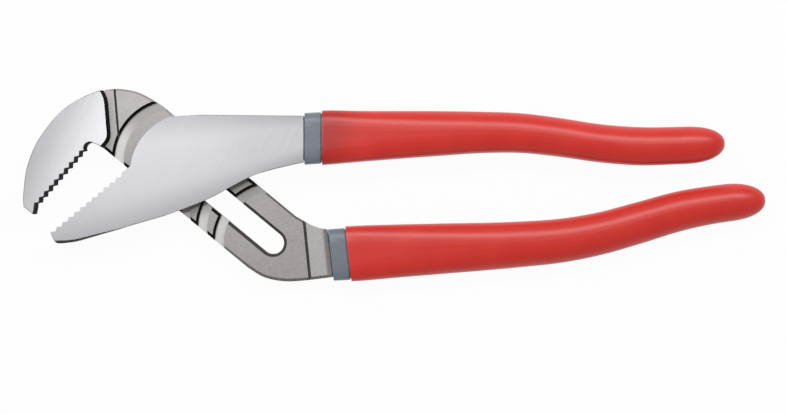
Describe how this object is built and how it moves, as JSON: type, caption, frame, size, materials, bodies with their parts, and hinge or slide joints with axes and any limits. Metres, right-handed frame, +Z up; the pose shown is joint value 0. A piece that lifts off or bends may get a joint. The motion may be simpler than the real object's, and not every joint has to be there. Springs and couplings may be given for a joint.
{
  "type": "water pump pliers",
  "caption": "Water pump pliers: an angled pair of toothed jaws, a slotted rear lever with curved grooves, a tongued front lever on a sliding pivot bolt, and dipped grips over liners.",
  "frame": {"origin": "on the pivot bolt's axis, at the end face of the bolt and nut that the pliers lie on", "axes": "+X from the bolt towards the handles, +Y towards the upper jaw's side, +Z up out of the front lever's face"},
  "size_m": [0.2531, 0.0659, 0.0154],
  "materials": {
    "front_lever": "bright, brushed along the lever",
    "rear_lever": "bright jaw face, fine blasted bar",
    "hardware": "plated",
    "grip": "smooth dipped vinyl",
    "liner": "satin"
  },
  "bodies": {
    "rear_half": {"rear_lever": "rear_lever", "lower_grip": "grip", "lower_grip_liner": "liner"},
    "pivot_carriage": {"pivot_washer": "hardware"},
    "front_half": {"front_lever": "front_lever", "pivot_bolt": "hardware", "pivot_nut": "hardware", "upper_grip": "grip", "upper_grip_liner": "liner"}
  },
  "joints": [
    {"name": "jaw_setting", "type": "hinge", "parent": "rear_half", "child": "pivot_carriage", "pos_m": [0.19133, 0.20807, 0], "axis": [0, 0, 1], "range_deg": [-1.5, 7.5]},
    {"name": "handle_pivot", "type": "hinge", "parent": "pivot_carriage", "child": "front_half", "pos_m": [0, 0, 0], "axis": [0, 0, 1], "range_deg": [0, 72]}
  ]
}
